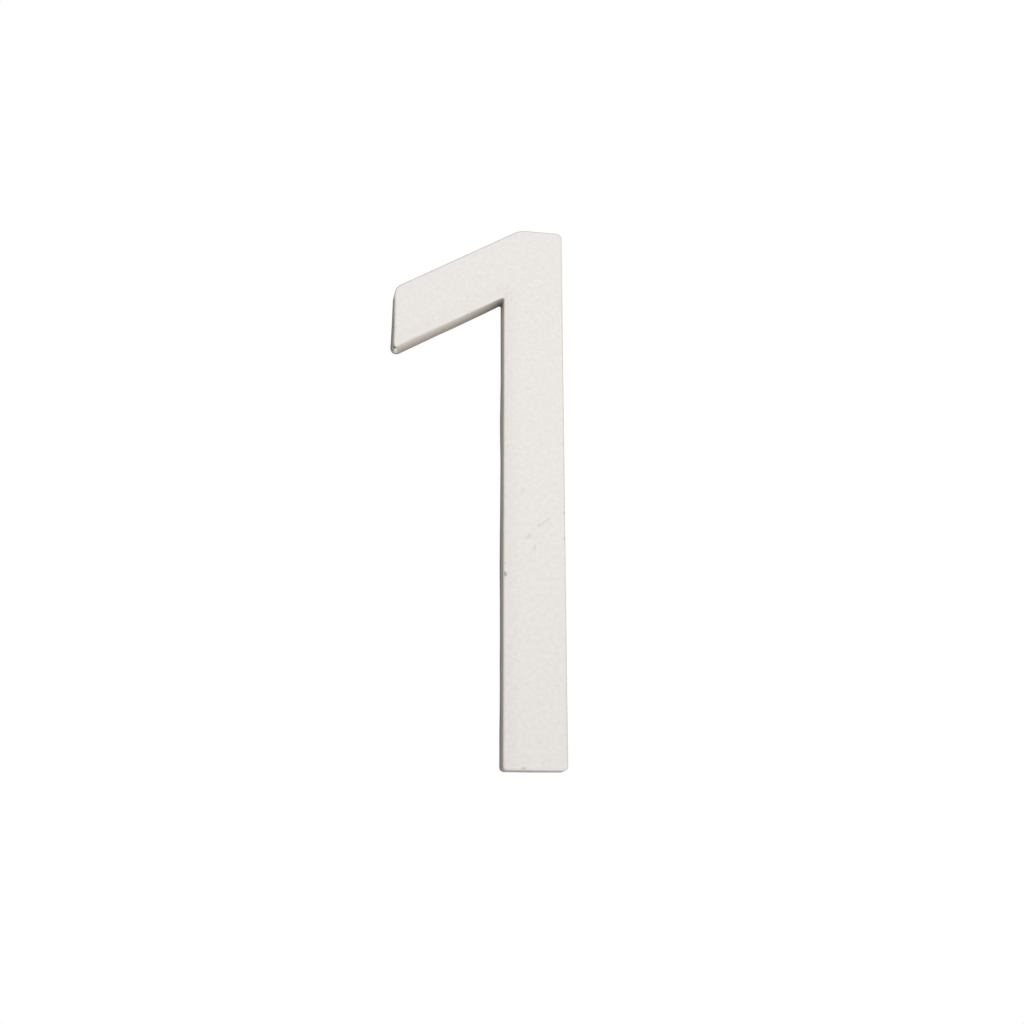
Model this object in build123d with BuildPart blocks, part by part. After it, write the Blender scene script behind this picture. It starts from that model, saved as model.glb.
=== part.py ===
import os
from math import radians, tan

from build123d import *

# Millimetres. The numeral stands upright with its face towards -Y and its back on Y = 0.
# X and Z start at the middle of the stem, half way up.
numeral_height = 50.0
stem_width = 5.6
plate_thickness = 2.0

# The flag runs down to the left from the level top, with both long sides at one slope.
top_flat_width = 4.05
flag_reach = 10.05  # beyond the stem's left side
flag_end_height = 6.25
flag_end_lean = 0.12  # the end's tip stands out from its upper corner
flag_angle = 30.8

# The walls lean in from the back to the face, so that the casting leaves its die.
draft_angle = 1.0

# Corners of the outline
foot_radius = 0.4
top_radius = 0.55
apex_radius = 2.0
flag_upper_radius = 1.15
flag_tip_radius = 0.55
inner_radius = 0.1

# Rounded edges of the face and of the back
face_edge_radius = 0.2
back_edge_radius = 0.25

# Blind holes in the back for M3 wall studs, on the stem's middle line
stud_spacing = 30.0
stud_tap_diameter = 2.5
stud_hole_depth = 1.3
stud_mouth_diameter = 3.1
stud_mouth_angle = 90.0

stem_left = -stem_width / 2
stem_right = stem_width / 2
foot_level = -numeral_height / 2
top_level = numeral_height / 2
apex_x = stem_right - top_flat_width
flag_end_x = stem_left - flag_reach
flag_slope = tan(radians(flag_angle))
flag_end_top = top_level - (apex_x - flag_end_x) * flag_slope
flag_end_bottom = flag_end_top - flag_end_height
flag_tip_x = flag_end_x - flag_end_lean
flag_tip_level = flag_end_bottom - flag_end_lean * flag_slope
inner_level = flag_end_bottom + flag_reach * flag_slope

# Sharp corners of the outline, anticlockwise from the foot, each with its radius
corner_radii = {
    (stem_left, foot_level): foot_radius,
    (stem_right, foot_level): foot_radius,
    (stem_right, top_level): top_radius,
    (apex_x, top_level): apex_radius,
    (flag_end_x, flag_end_top): flag_upper_radius,
    (flag_tip_x, flag_tip_level): flag_tip_radius,
    (stem_left, inner_level): inner_radius,
}

with BuildPart() as numeral:
    with BuildSketch(Plane.XZ) as outline:
        with BuildLine():
            Polyline(*corner_radii, close=True)
        make_face()
        for corner, radius in corner_radii.items():
            fillet(outline.vertices().sort_by_distance(corner)[0], radius=radius)
    extrude(amount=plate_thickness)

    walls = numeral.faces().filter_by(Axis.Y, reverse=True)
    draft(walls, neutral_plane=Plane.XZ, angle=draft_angle)

    face = numeral.faces().sort_by(Axis.Y)[0]
    fillet(face.edges(), radius=face_edge_radius)
    back = numeral.faces().sort_by(Axis.Y)[-1]
    fillet(back.edges(), radius=back_edge_radius)

    with Locations(Plane.back):
        with GridLocations(0, stud_spacing, 1, 2):
            CounterSinkHole(
                radius=stud_tap_diameter / 2,
                counter_sink_radius=stud_mouth_diameter / 2,
                depth=stud_hole_depth,
                counter_sink_angle=stud_mouth_angle,
            )

numeral.part.label = "numeral_one"

os.makedirs("parts", exist_ok=True)
export_step(numeral.part, "parts/numeral_one.step")
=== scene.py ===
import math

import bmesh
import bpy
from mathutils import Matrix, Vector, noise


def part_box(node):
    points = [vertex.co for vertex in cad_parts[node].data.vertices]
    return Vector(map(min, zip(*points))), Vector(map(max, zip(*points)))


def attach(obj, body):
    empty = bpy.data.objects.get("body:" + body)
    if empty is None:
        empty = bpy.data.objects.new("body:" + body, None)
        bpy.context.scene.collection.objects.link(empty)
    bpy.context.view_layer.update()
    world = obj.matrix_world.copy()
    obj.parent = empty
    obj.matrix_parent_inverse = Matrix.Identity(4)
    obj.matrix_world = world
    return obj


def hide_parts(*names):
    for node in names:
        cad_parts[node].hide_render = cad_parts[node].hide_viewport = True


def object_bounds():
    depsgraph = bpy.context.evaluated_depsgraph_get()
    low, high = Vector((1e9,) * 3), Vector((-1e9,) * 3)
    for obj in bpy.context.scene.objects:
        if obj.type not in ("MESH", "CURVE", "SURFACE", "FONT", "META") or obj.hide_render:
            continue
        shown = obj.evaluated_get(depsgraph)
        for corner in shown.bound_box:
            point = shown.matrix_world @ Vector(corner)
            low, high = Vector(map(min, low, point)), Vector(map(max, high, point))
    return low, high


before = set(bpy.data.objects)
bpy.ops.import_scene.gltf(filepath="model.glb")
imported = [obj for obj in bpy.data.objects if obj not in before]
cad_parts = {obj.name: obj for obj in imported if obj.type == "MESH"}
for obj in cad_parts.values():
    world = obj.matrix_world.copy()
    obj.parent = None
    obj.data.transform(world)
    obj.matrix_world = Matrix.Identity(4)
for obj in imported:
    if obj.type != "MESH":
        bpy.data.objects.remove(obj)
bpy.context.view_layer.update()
mm = 0.001
white = (1, 1, 1, 1)


# a shader socket that can be used in sums
class Wire:
    def __init__(self, tree, socket=None):
        self.tree = tree
        self.socket = socket

    # any node: its settings first, then its sockets, then the output that is wanted
    def node(self, kind, settings=None, sockets=None, output=0):
        made = self.tree.nodes.new(kind)
        for key, value in (settings or {}).items():
            setattr(made, key, value)
        for key, value in (sockets or {}).items():
            if isinstance(value, Wire):
                self.tree.links.new(value.socket, made.inputs[key])
            else:
                made.inputs[key].default_value = value
        return Wire(self.tree, made.outputs[output] if made.outputs else None)

    def maths(self, operation, first, second=0.0):
        return self.node("ShaderNodeMath", {"operation": operation}, {0: first, 1: second})

    def __add__(self, other):
        return self.maths("ADD", self, other)

    def __radd__(self, other):
        return self.maths("ADD", other, self)

    def __sub__(self, other):
        return self.maths("SUBTRACT", self, other)

    def __rsub__(self, other):
        return self.maths("SUBTRACT", other, self)

    def __mul__(self, other):
        return self.maths("MULTIPLY", self, other)

    def __rmul__(self, other):
        return self.maths("MULTIPLY", other, self)

    def ramp(self, low, high):
        return self.node("ShaderNodeMapRange", {"interpolation_type": "SMOOTHSTEP"},
                         {"Value": self, "From Min": low, "From Max": high})

    def vectorMaths(self, operation, sockets, output=0):
        return self.node("ShaderNodeVectorMath", {"operation": operation}, sockets, output)

    def part(self, axis):
        return self.node("ShaderNodeSeparateXYZ", sockets={0: self}, output=axis)

    def mixColour(self, first, second, factor):
        return self.node("ShaderNodeMix", {"data_type": "RGBA"},
                         {"Factor": factor, 6: first, 7: second}, output=2)

    def attribute(self, name):
        return self.node("ShaderNodeAttribute", {"attribute_name": name}, output="Fac")

    def objectPlace(self):
        return self.node("ShaderNodeTexCoord", output="Object")


def newMaterial(name):
    material = bpy.data.materials.new(name)
    material.use_nodes = True
    material.node_tree.nodes.clear()
    return material, Wire(material.node_tree)


def surface(wire, shader):
    wire.node("ShaderNodeOutputMaterial", sockets={"Surface": shader})


def meshObject(name, bm):
    mesh = bpy.data.meshes.new(name)
    bm.to_mesh(mesh)
    bm.free()
    made = bpy.data.objects.new(name, mesh)
    bpy.context.scene.collection.objects.link(made)
    return made


# satin silver: bright on the face, duller on the sides, and darker towards the wall as painted shade;
# sizes in mm
silver = {
    "face": (0.80, 0.767, 0.739, 1),
    "sideFront": (0.76, 0.711, 0.652, 1),
    # the sides at the back, painted darker as shade
    "sideBackShaded": (0.384, 0.345, 0.291, 1),
    # dark for nicks and scratches, and for painted shade
    "nickAndShade": (0.11, 0.08, 0.058, 1),
    # painted highlight
    "paintedHighlight": (0.88, 0.85, 0.82, 1),
    "creaseTone": 0.88,   # painted shade in the corner under the flag
    "creaseFlag": 2.4,    # its reach along the flag
    "creaseStem": 0.35,   # and down the stem
    "creaseFront": 0.6,   # its share at the face
    "faceMetallic": 0.35,
    "sideMetallic": 0.0,
    "faceRoughness": 0.5,
    "sideRoughness": 0.62,
    "specular": 0.15,
    "grainSize": 0.40,
    "grainDetail": 2.0,
    "grainDepth": 0.008,
    "grainRelief": 0.3,
    "grainTone": 0.18,
    "mottleSize": 4.0,
    "mottleDetail": 3.0,
    "mottleTone": 0.03,
    "mottleRoughness": 0.12,
    "noiseRoughness": 0.6,
}


def silverNoise(wire, place, name):
    return wire.node("ShaderNodeTexNoise", sockets={
        "Vector": place, "Scale": 1 / (silver[name + "Size"] * mm),
        "Detail": silver[name + "Detail"], "Roughness": silver["noiseRoughness"]})


# painted shade in the corner under the flag, on the walls alone and darkest towards the back
def creaseShade(wire, place, side, depth):
    s = silver
    x, z, _ = numeralCorners()[-1]
    slope = math.tan(math.radians(numeral["flagAngle"]))
    beside = wire.vectorMaths("SUBTRACT", {0: place, 1: (x, 0, z)})
    along, up = beside.part("X"), beside.part("Z")
    away = wire.maths("ABSOLUTE", along) * (1 / (s["creaseFlag"] * mm))
    away = away + wire.maths("ABSOLUTE", up - slope * along) * (1 / (s["creaseStem"] * mm))
    cornerShade = side.ramp(numeral["backSide"], 1.0) * wire.maths("EXPONENT", away * -1)
    return 1 - s["creaseTone"] * cornerShade * (s["creaseFront"] + (1 - s["creaseFront"]) * depth)


def satinSilver():
    s = silver
    low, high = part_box("numeral_one")
    material, wire = newMaterial("satin_silver")
    place = wire.objectPlace()
    side, wearAndLight = wire.attribute("side"), wire.attribute("wearAndLight")
    depth = place.part("Y").ramp(low.y, high.y)
    grain = silverNoise(wire, place, "grain") - 0.5  # about 0
    mottle = silverNoise(wire, place, "mottle") - 0.5

    # painted shade: the sides darken towards the back, and more in the corner under the flag
    shadedSides = wire.mixColour(s["sideFront"], s["sideBackShaded"], depth)
    shadedSides = wire.vectorMaths("SCALE", {0: shadedSides, "Scale": creaseShade(wire, place, side, depth)})
    clean = wire.mixColour(s["face"], shadedSides, side)
    # the marks' tone: real nicks and scratches, painted shade darker, painted highlights brighter
    wearAndLightColour = wire.mixColour(clean, s["nickAndShade"], wire.maths("MAXIMUM", wearAndLight, 0.0))
    wearAndLightColour = wire.mixColour(wearAndLightColour, s["paintedHighlight"], wire.maths("MAXIMUM", wearAndLight * -1, 0.0))
    shade = 1 + s["grainTone"] * grain + s["mottleTone"] * mottle
    colour = wire.vectorMaths("SCALE", {0: wearAndLightColour, "Scale": shade})

    rough = s["faceRoughness"] + side * (s["sideRoughness"] - s["faceRoughness"])
    rough = rough + s["mottleRoughness"] * mottle
    metallic = s["faceMetallic"] + side * (s["sideMetallic"] - s["faceMetallic"])
    relief = wire.node("ShaderNodeBump", sockets={
        "Strength": s["grainRelief"], "Distance": s["grainDepth"] * mm, "Height": grain})
    surface(wire, wire.node("ShaderNodeBsdfPrincipled", sockets={
        "Base Color": colour, "Metallic": metallic, "Roughness": rough,
        "Specular IOR Level": s["specular"], "Normal": relief}))
    return material


# mm and degrees; the overall size comes from the CAD box
numeral = {
    "topFlat": 4.05,
    "flagReach": 10.05,
    "flagLean": 0.12,
    "flagEndHeight": 6.25,
    "flagAngle": 30.8,
    "footRadius": 0.4,
    "topRadius": 0.55,
    "apexRadius": 2.0,
    "flagUpperRadius": 1.15,
    "flagTipRadius": 0.55,
    "innerRadius": 0.1,
    "draft": 1.0,
    "faceEdge": 0.2,
    "backEdge": 0.25,
    "edgeRim": 0.05,      # flat band next to a rounded edge
    "backSide": 0.4,      # how much of the duller side finish, with its painted shade, the back has
    "edgeSteps": 8,
    "wallSteps": 6,
    "arcStep": 5.0,
    "arcLeast": 4,        # steps in the smallest arc
    "cutLength": 0.25,
    "faceGrid": 0.5,
    "gridMerge": 0.0001,
    "lowerLean": 0.20,    # how far the flag's lower wall leans in at the face
    "lowerReach": 2.0,
    "lowerFade": 0.13,    # share of the flag over which that ends at the tip
    "unevenness": 0.06,
    "unevenLength": 3.5,
    "unevenPhase": (26.5, 33.2, 11.7),
    "unevenInset": 0.015,
    "unevenFrom": 3.0,    # up from the foot, which is straight
}


# the sharp corners of the outline with their radii, anticlockwise from the foot
def numeralCorners():
    low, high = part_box("numeral_one")
    n = numeral
    slope = math.tan(math.radians(n["flagAngle"]))
    stemLeft = -high.x
    apexX = high.x - n["topFlat"] * mm
    endX = stemLeft - n["flagReach"] * mm
    tipX = endX - n["flagLean"] * mm
    endTop = high.z - (apexX - endX) * slope
    endBottom = endTop - n["flagEndHeight"] * mm
    tip = endBottom - (endX - tipX) * slope
    inner = endBottom + (stemLeft - endX) * slope
    return [
        (stemLeft, low.z, n["footRadius"]),
        (high.x, low.z, n["footRadius"]),
        (high.x, high.z, n["topRadius"]),
        (apexX, high.z, n["apexRadius"]),
        (endX, endTop, n["flagUpperRadius"]),
        (tipX, tip, n["flagTipRadius"]),
        (stemLeft, inner, n["innerRadius"]),
    ]


# one arc spun at each corner, joined by straight edges that are then cut short
def outlineFace(bm, y):
    corners = [(Vector((x, y, z)), radius * mm) for x, z, radius in numeralCorners()]
    ends = []
    for i, (corner, radius) in enumerate(corners):
        inward = (corner - corners[i - 1][0]).normalized()
        outward = (corners[(i + 1) % len(corners)][0] - corner).normalized()
        left = Vector((-inward.z, 0, inward.x))
        turn = math.atan2(left.dot(outward), inward.dot(outward))
        start = corner - inward * radius * math.tan(abs(turn) / 2)
        centre = start + left * math.copysign(radius, turn)
        first = bm.verts.new(start)
        steps = max(numeral["arcLeast"], math.ceil(abs(math.degrees(turn)) / numeral["arcStep"]))
        spun = bmesh.ops.spin(bm, geom=[first], cent=centre, axis=(0, -1, 0), angle=turn, steps=steps)
        ends.append((first, [v for v in spun["geom_last"] if isinstance(v, bmesh.types.BMVert)][0]))
    for (first, last), (following, _) in zip(ends, ends[1:] + ends[:1]):
        bm.edges.new((last, following))
    longest = numeral["cutLength"] * mm
    while any(e.calc_length() > longest for e in bm.edges):
        bmesh.ops.subdivide_edges(bm, edges=[e for e in bm.edges if e.calc_length() > longest], cuts=1)
    return bmesh.ops.contextual_create(bm, geom=bm.edges[:])["faces"][0]


def turnTo(face, y):
    face.normal_update()
    if face.normal.y * y < 0:
        face.normal_flip()


def grow(bm, face, inset, rise):
    bmesh.ops.inset_region(bm, faces=[face], thickness=inset, depth=rise,
                           use_boundary=True, use_even_offset=True)


# quarter-round edge in small steps, with the side finish and its painted shade fading out over it
def rollEdge(bm, face, radius, sideEnd, side):
    steps = numeral["edgeSteps"]
    angles = [math.pi / 2 * i / steps for i in range(steps + 1)]
    for a, b in zip(angles, angles[1:]):
        grow(bm, face, radius * (math.cos(a) - math.cos(b)), radius * (math.sin(b) - math.sin(a)))
        for v in face.verts:
            v[side] = sideEnd + (1 - sideEnd) * math.cos(b)
    grow(bm, face, numeral["edgeRim"] * mm, 0.0)


def gridFace(bm, face):
    low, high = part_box("numeral_one")
    step = numeral["faceGrid"] * mm
    faces = [face]
    for axis, start, end in (((1, 0, 0), low.x, high.x), ((0, 0, 1), low.z, high.z)):
        axis = Vector(axis)
        for i in range(1, math.ceil((end - start) / step)):
            edges = list(dict.fromkeys(e for f in faces for e in f.edges))
            verts = list(dict.fromkeys(v for f in faces for v in f.verts))
            cut = bmesh.ops.bisect_plane(bm, geom=faces + edges + verts, dist=numeral["gridMerge"] * mm,
                                         plane_co=axis * (start + i * step), plane_no=axis)
            faces = [f for f in cut["geom"] if isinstance(f, bmesh.types.BMFace)]


# 0 to 1 with a soft start and end
def smooth(share):
    share = max(0.0, min(1.0, share))
    return share * share * (3 - 2 * share)


# the flag's lower wall leans in more and more from the stem, up to just before the tip
def leanFlag(bm):
    low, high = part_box("numeral_one")
    (tipX, tip, _), (innerX, inner, _) = numeralCorners()[-2:]
    for v in bm.verts:
        along = max(0.0, min(1.0, (innerX - v.co.x) / (innerX - tipX)))
        above = (v.co.z - inner - (tip - inner) * along) / (numeral["lowerReach"] * mm)
        front = (high.y - v.co.y) / (high.y - low.y)
        share = along * smooth((1 - along) / numeral["lowerFade"])
        v.co.z += numeral["lowerLean"] * share * front * smooth(1 - above) * mm


# the back edges of a casting are never quite straight, but the size holds
def unevenSides(bm):
    low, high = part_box("numeral_one")
    n = numeral
    bm.normal_update()
    for v in bm.verts:
        outward = Vector((v.normal.x, 0, v.normal.z))
        depth = (v.co.y - low.y) / (high.y - low.y)
        wave = noise.noise(v.co / (n["unevenLength"] * mm) + Vector(n["unevenPhase"]))
        level = min(1.0, (v.co.z - low.z) / (n["unevenFrom"] * mm))
        v.co += outward * (n["unevenness"] * wave - n["unevenInset"]) * depth * level * mm
        v.co = [max(least, min(most, c)) for c, least, most in zip(v.co, low, high)]


# threaded holes in the back for wall studs, in mm
stud = {
    "spacing": 30.0,
    "mouth": 1.55,        # radii
    "tapDrill": 1.25,
    "threadRoot": 1.5,
    "pitch": 0.5,
    "grooveFlank": 2.4,   # how steeply a groove's sides fall
    "grooveHalf": 0.45,   # in turns
    "grooveLeast": 0.05,
    "depth": 1.3,
    "fadeFrom": 1.0,      # depth at which the thread starts to run out
    "segments": 48,
    "ring": 0.04,
}


# radius of the bore at a depth and turn: the mouth's cone, or the thread where that is wider
def boreRadius(depth, turn):
    s = stud
    phase = (depth / s["pitch"] + turn / (2 * math.pi)) % 1.0
    groove = s["grooveFlank"] * (s["grooveHalf"] - abs(phase - 0.5)) + s["grooveLeast"]
    groove = min(1.0, max(0.0, groove))
    fade = min(1.0, max(0.0, (s["depth"] - depth) / (s["depth"] - s["fadeFrom"])))
    thread = s["tapDrill"] + (s["threadRoot"] - s["tapDrill"]) * groove * fade
    return max(s["mouth"] - depth, thread)


# each hole is drawn down from its mouth ring by ring
def studHoles(bm, back, side):
    s = stud
    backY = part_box("numeral_one")[1].y
    edges = list(back.edges)
    bmesh.ops.delete(bm, geom=[back], context="FACES_ONLY")
    mouths = []
    for z in (s["spacing"] / 2, -s["spacing"] / 2):
        place = Matrix.Translation((0, backY, z * mm)) @ Matrix.Rotation(math.pi / 2, 4, "X")
        ring = bmesh.ops.create_circle(bm, cap_ends=False, segments=s["segments"],
                                       radius=s["mouth"] * mm, matrix=place)["verts"]
        for v in ring:
            v[side] = numeral["backSide"]
        loop = list(dict.fromkeys(e for v in ring for e in v.link_edges))
        edges += loop
        mouths.append((z * mm, loop))
    bmesh.ops.triangle_fill(bm, use_beauty=True, use_dissolve=False, edges=edges, normal=(0, 1, 0))
    for z, loop in mouths:
        for e in loop:
            e.smooth = False
        rings = math.ceil(s["depth"] / s["ring"])
        for i in range(1, rings + 1):
            depth = s["depth"] * i / rings
            made = bmesh.ops.extrude_edge_only(bm, edges=loop)["geom"]
            loop = [e for e in made if isinstance(e, bmesh.types.BMEdge)]
            loop = [e for e in loop if all(v in made for v in e.verts)]
            for v in [v for v in made if isinstance(v, bmesh.types.BMVert)]:
                turn = math.atan2(v.co.z - z, v.co.x)
                radius = boreRadius(depth, turn) * mm
                v.co = (radius * math.cos(turn), backY - depth * mm, z + radius * math.sin(turn))
                v[side] = 1.0
        for e in loop:
            e.smooth = False
        bmesh.ops.contextual_create(bm, geom=loop)


# a line of wear, painted shade or painted highlight in mm, from start to end (x, how far behind the face,
# z), with its half width and depth;
# tone is how dark it is, or below 0 how bright, and taper the share of it that is lost at the start
def wearAndLightLine(start, end, width, depth=0.0, tone=0.0, taper=0.0):
    return {"start": Vector(start) * mm, "end": Vector(end) * mm, "width": width * mm,
            "depth": depth, "tone": tone, "taper": taper}


# the wide soft ones come last, so that they don't cut up the mesh of the small ones
marks = {
    # the face
    "scratch": wearAndLightLine((1.10, 0, -3.31), (0.31, 0, -3.86), 0.18, depth=0.02, tone=0.17, taper=0.35),
    "scratchTail": wearAndLightLine((1.50, 0, -2.80), (1.10, 0, -3.31), 0.15, depth=0.01, tone=0.11, taper=0.7),
    "smudge": wearAndLightLine((-0.62, 0, -4.90), (-0.45, 0, -4.72), 0.27, depth=0.02, tone=0.15),
    "spot": wearAndLightLine((0.06, 0, -5.60), (-0.01, 0, -5.95), 0.20, depth=0.02, tone=0.17, taper=0.6),
    "speckUnderSpot": wearAndLightLine((-0.34, 0, -6.40), (-0.34, 0, -6.50), 0.22, depth=0.01, tone=0.05),
    "speckOverSmudge": wearAndLightLine((-1.08, 0, -0.57), (-1.05, 0, -0.75), 0.30, depth=0.01, tone=0.07),
    "speckRight": wearAndLightLine((1.70, 0, 0.00), (2.00, 0, 0.05), 0.30, depth=0.01, tone=0.04),
    "speckRightLow": wearAndLightLine((1.88, 0, -15.2), (1.88, 0, -15.1), 0.25, depth=0.01, tone=0.05),
    "speckRightLowest": wearAndLightLine((1.98, 0, -18.0), (1.98, 0, -17.9), 0.25, depth=0.01, tone=0.05),
    "speckFoot": wearAndLightLine((-1.25, 0, -24.35), (-0.80, 0, -24.38), 0.16, depth=0.01, tone=0.03),
    # nicks in the stem's edges, and the foot's back edge lost to the right
    "nickLeft": wearAndLightLine((-2.65, 0.03, -8.27), (-2.60, 0.03, -8.37), 0.27, depth=0.06, tone=0.60),
    "nickLeftUpper": wearAndLightLine((-2.63, 0.03, -7.37), (-2.63, 0.03, -7.30), 0.20, depth=0.03, tone=0.20),
    "nickFoot": wearAndLightLine((-1.12, 0.05, -24.82), (-0.95, 0.05, -24.81), 0.18, depth=0.05, tone=0.35),
    "nickRightUpper": wearAndLightLine((2.69, 0.05, -2.45), (2.69, 0.05, -2.62), 0.14, depth=0.03, tone=0.25),
    "nickRight": wearAndLightLine((2.69, 0.05, -4.88), (2.69, 0.05, -5.02), 0.14, depth=0.03, tone=0.25),
    "footBack": wearAndLightLine((-0.50, 1.75, -24.98), (2.75, 1.75, -24.98), 1.00, depth=0.045, taper=1.0),
    # the flag's end: a painted highlight at its upper corner, its front edge dented and painted dark as
    # shade, its wall painted darkest low down as shade
    "endHighlight": wearAndLightLine((-12.80, 0.80, 16.00), (-12.74, 0.80, 18.30), 0.90, tone=-0.35, taper=1.0),
    "endEdge": wearAndLightLine((-12.79, 0.10, 17.60), (-12.86, 0.10, 14.10), 0.28, depth=0.04, tone=0.65, taper=1.0),
    "endEdgeLow": wearAndLightLine((-12.88, 0.10, 12.45), (-12.86, 0.10, 14.10), 0.30, depth=0.04, tone=0.65),
    "endWall": wearAndLightLine((-12.79, 1.00, 17.60), (-12.86, 1.00, 14.10), 0.90, tone=0.85, taper=1.0),
    "endWallLow": wearAndLightLine((-12.90, 1.00, 12.90), (-12.86, 1.00, 14.10), 0.90, tone=0.85, taper=0.4),
    # the chip, a painted highlight at its tip, and painted shade along the tip's back edge
    "tipChip": wearAndLightLine((-12.78, 0.60, 12.33), (-12.73, 0.68, 12.28), 0.37, depth=0.08, tone=1.00),
    "tipHighlight": wearAndLightLine((-12.51, 0.75, 12.20), (-12.54, 1.40, 12.20), 0.28, tone=-1.00),
    "tipBackShade": wearAndLightLine((-12.55, 1.85, 12.35), (-11.30, 1.85, 12.95), 0.45, tone=0.45),
    # the flag's lower front edge, worn rounder towards the tip
    "lowerEdge": wearAndLightLine((-3.00, 0.06, 17.81), (-12.00, 0.06, 12.63), 0.45, depth=0.06, taper=0.5),
    # the face is painted a little darker along the stem's left side and the flag's lower side, as shade
    # beside the edges
    "stemEdgeShade": wearAndLightLine((-2.62, 0, 18.20), (-2.62, 0, -24.60), 1.60, tone=0.045),
    "flagEdgeShade": wearAndLightLine((-12.50, 0, 12.80), (-2.90, 0, 18.50), 1.20, tone=0.03),
    # the stem's left wall, painted darker towards the foot as shade
    "stemWall": wearAndLightLine((-2.78, 1.40, 2.00), (-2.78, 1.40, -24.60), 0.90, tone=0.20, taper=1.0),
}
markMesh = {"finest": 0.05, "steps": 6}  # mm, and edges over a mark's half width


# how far along a mark a spot lies, from 0 to 1, and how far off its middle line
def markPlace(mark, spot):
    start, end = mark["start"], mark["end"]
    along = max(0.0, min(1.0, (spot - start).dot(end - start) / (end - start).length_squared))
    return along, (spot - start.lerp(end, along)).length


def markShare(mark, spot):
    along, away = markPlace(mark, spot)
    return smooth(1 - away / mark["width"]) * (1 - mark["taper"] * (1 - along))


# edges under a mark that are still too long for it
def coarseEdges(bm, mark, front):
    reach = mark["width"]
    grid = max(markMesh["finest"] * mm, reach / markMesh["steps"])
    centre = front + (mark["start"] + mark["end"]) / 2
    half = (mark["end"] - mark["start"]).length / 2
    coarse = []
    for e in bm.edges:
        length = e.calc_length()
        middle = (e.verts[0].co + e.verts[1].co) / 2
        if length > grid and (middle - centre).length < half + reach + length / 2:
            if markPlace(mark, middle - front)[1] < reach + length / 2:
                coarse.append(e)
    return coarse


# the strongest tone and the deepest dent hold where marks meet
def wearAndLightNumeral(bm, wearAndLight):
    front = Vector((0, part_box("numeral_one")[0].y, 0))
    for mark in marks.values():
        while coarse := coarseEdges(bm, mark, front):
            bmesh.ops.subdivide_edges(bm, edges=coarse, cuts=1, use_grid_fill=True)
    bm.normal_update()
    for v in bm.verts:
        shares = [(mark, markShare(mark, v.co - front)) for mark in marks.values()]
        v[wearAndLight] = max((mark["tone"] * share for mark, share in shares), key=abs)
        v.co -= v.normal * max(mark["depth"] * share for mark, share in shares) * mm


def buildNumeral():
    low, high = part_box("numeral_one")
    n = numeral
    bm = bmesh.new()
    side = bm.verts.layers.float.new("side")
    wearAndLight = bm.verts.layers.float.new("wearAndLight")
    face = outlineFace(bm, high.y - n["backEdge"] * mm)
    turnTo(face, -1)
    for v in bm.verts:
        v[side] = 1.0
    rise = ((high.y - low.y) / mm - n["backEdge"] - n["faceEdge"]) * mm / n["wallSteps"]
    for _ in range(n["wallSteps"]):
        grow(bm, face, rise * math.tan(math.radians(n["draft"])), rise)
    rollEdge(bm, face, n["faceEdge"] * mm, 0.0, side)
    back = bmesh.ops.contextual_create(bm, geom=[e for e in bm.edges if e.is_boundary])["faces"][0]
    turnTo(back, 1)
    rollEdge(bm, back, n["backEdge"] * mm, n["backSide"], side)
    print("numeral: outline, walls and rounded edges,", len(bm.faces), "faces")

    leanFlag(bm)
    unevenSides(bm)
    gridFace(bm, face)
    back = max(bm.faces, key=lambda f: (len(f.verts), f.normal.y))
    studHoles(bm, back, side)
    print("numeral: stud holes,", len(bm.faces), "faces")
    wearAndLightNumeral(bm, wearAndLight)
    bmesh.ops.recalc_face_normals(bm, faces=bm.faces)
    for f in bm.faces:
        f.smooth = True
    print("numeral: wear,", len(bm.faces), "faces, open edges", sum(e.is_boundary for e in bm.edges),
          "volume", round(bm.calc_volume() / mm ** 3, 1))

    piece = meshObject("numeral_casting", bm)
    piece.data.materials.append(satinSilver())
    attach(piece, "root")
    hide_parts("numeral_one")


# mm; white further off, so that only the shadow of the numeral shows on the floor
studio = {
    "floorDrop": 120.0,
    "floorSize": 4000.0,
    "floorColour": (0.60, 0.60, 0.60, 1),
    "floorWhite": 0.75,   # share of plain white near the numeral
    "sweepFrom": 250.0,
    "sweepTo": 450.0,
    "worldLight": 0.24,
}


# 1 where the camera, a reflection or a transmitted ray looks
def looking(wire):
    rays = wire.node("ShaderNodeLightPath").socket.node.outputs
    kinds = ("Is Camera Ray", "Is Glossy Ray", "Is Transmission Ray")
    eye, gloss, through = [Wire(wire.tree, rays[kind]) for kind in kinds]
    return wire.maths("MINIMUM", eye + gloss + through, 1.0)


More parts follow.
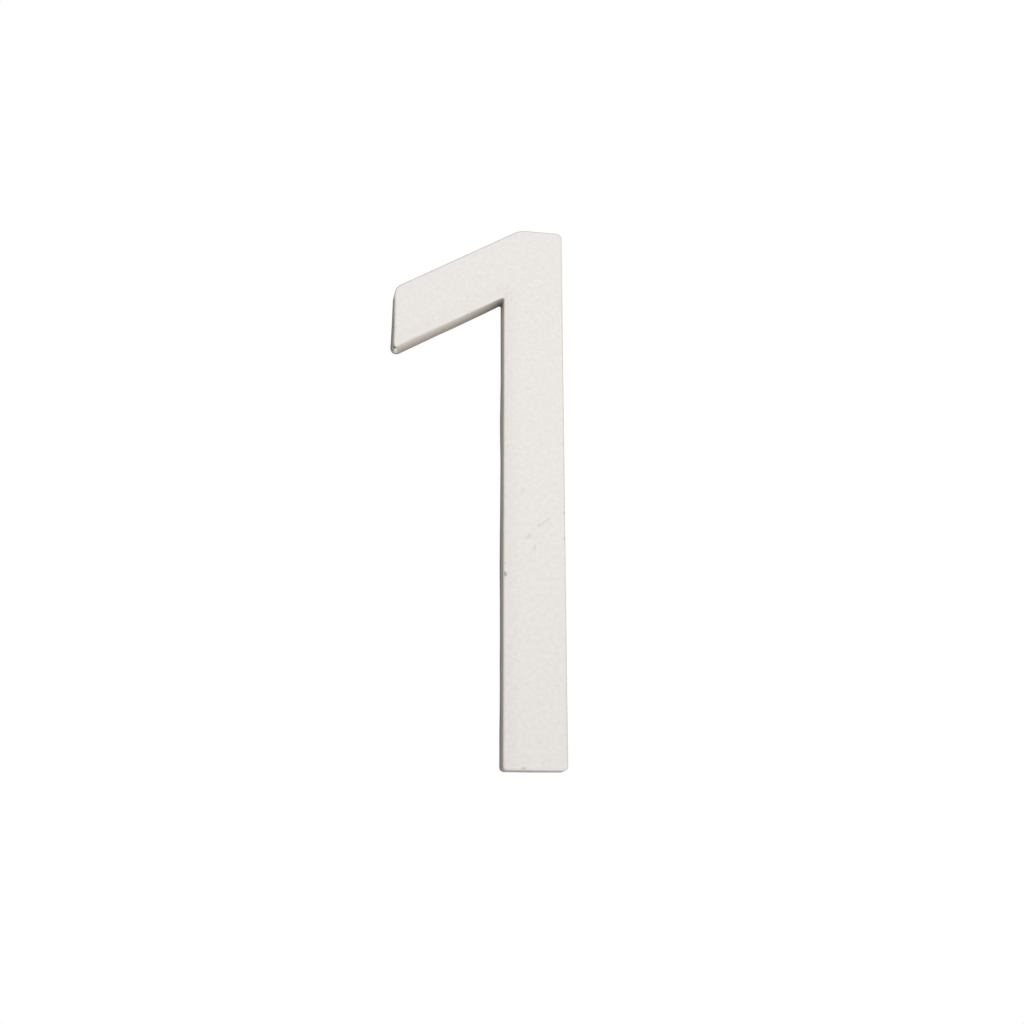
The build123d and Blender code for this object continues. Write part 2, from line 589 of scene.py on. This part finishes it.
def layFloor():
    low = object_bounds()[0]
    bm = bmesh.new()
    bmesh.ops.create_grid(bm, x_segments=1, y_segments=1, size=studio["floorSize"] * mm / 2)
    bmesh.ops.translate(bm, verts=bm.verts, vec=(0, 0, low[2] - studio["floorDrop"] * mm))
    plate = meshObject("floor", bm)
    material, wire = newMaterial("floor_white")
    flat = wire.vectorMaths("MULTIPLY", {0: wire.objectPlace(), 1: (1, 1, 0)})
    away = wire.vectorMaths("LENGTH", {0: flat}, output="Value")
    sweep = away.ramp(studio["sweepFrom"] * mm, studio["sweepTo"] * mm)
    pale = studio["floorWhite"] + (1 - studio["floorWhite"]) * sweep
    matt = wire.node("ShaderNodeBsdfDiffuse", sockets={"Color": studio["floorColour"]})
    glow = wire.node("ShaderNodeEmission", sockets={"Color": white, "Strength": 1.0})
    surface(wire, wire.node("ShaderNodeMixShader", sockets={0: pale * looking(wire), 1: matt, 2: glow}))
    plate.data.materials.append(material)


def lightWorld():
    world = bpy.data.worlds.new("studio")
    bpy.context.scene.world = world
    world.use_nodes = True
    world.node_tree.nodes.clear()
    wire = Wire(world.node_tree)
    lit, seen = [wire.node("ShaderNodeBackground", sockets={"Color": white, "Strength": strength})
                 for strength in (studio["worldLight"], 1.0)]
    mixed = wire.node("ShaderNodeMixShader", sockets={0: looking(wire), 1: lit, 2: seen})
    wire.node("ShaderNodeOutputWorld", sockets={"Surface": mixed})


# mm, degrees and watts; the key stands low in front and is aimed past the top, to even out its fall-off
lamps = {
    "key": {"place": (5, -235, -78), "aim": (10, 0, 64), "size": 110, "spread": 80, "power": 0.144},
    "back": {"place": (220, 430, 250), "aim": (0, 0, 0), "size": 300, "spread": 180, "power": 2.4},
}

# mm, from below and a little to the left
view = {
    "place": (-20.531, -106.079, -34.123),
    "aim": (-2.018, -2.0, -2.735),
    "lens": 44.253,
    "sensor": 36.0,
    "nearest": 5.0,
}


def aimed(name, data, settings):
    holder = bpy.data.objects.new(name, data)
    place, aim = Vector(settings["place"]) * mm, Vector(settings["aim"]) * mm
    holder.location = place
    holder.rotation_euler = (aim - place).to_track_quat("-Z", "Y").to_euler()
    bpy.context.scene.collection.objects.link(holder)
    return holder


def hangLamps():
    for name, lamp in lamps.items():
        light = bpy.data.lights.new(name, "AREA")
        light.size = lamp["size"] * mm
        light.spread = math.radians(lamp["spread"])
        light.energy = lamp["power"]
        holder = aimed(name, light, lamp)
        holder.visible_camera = False
        holder.visible_glossy = False


def setCamera():
    data = bpy.data.cameras.new("camera")
    data.lens = view["lens"]
    data.sensor_width = view["sensor"]
    data.clip_start = view["nearest"] * mm
    bpy.context.scene.camera = aimed("camera", data, view)


buildNumeral()
layFloor()
lightWorld()
hangLamps()
setCamera()
bpy.context.scene.view_settings.view_transform = "Standard"
print("studio: floor, light and camera")
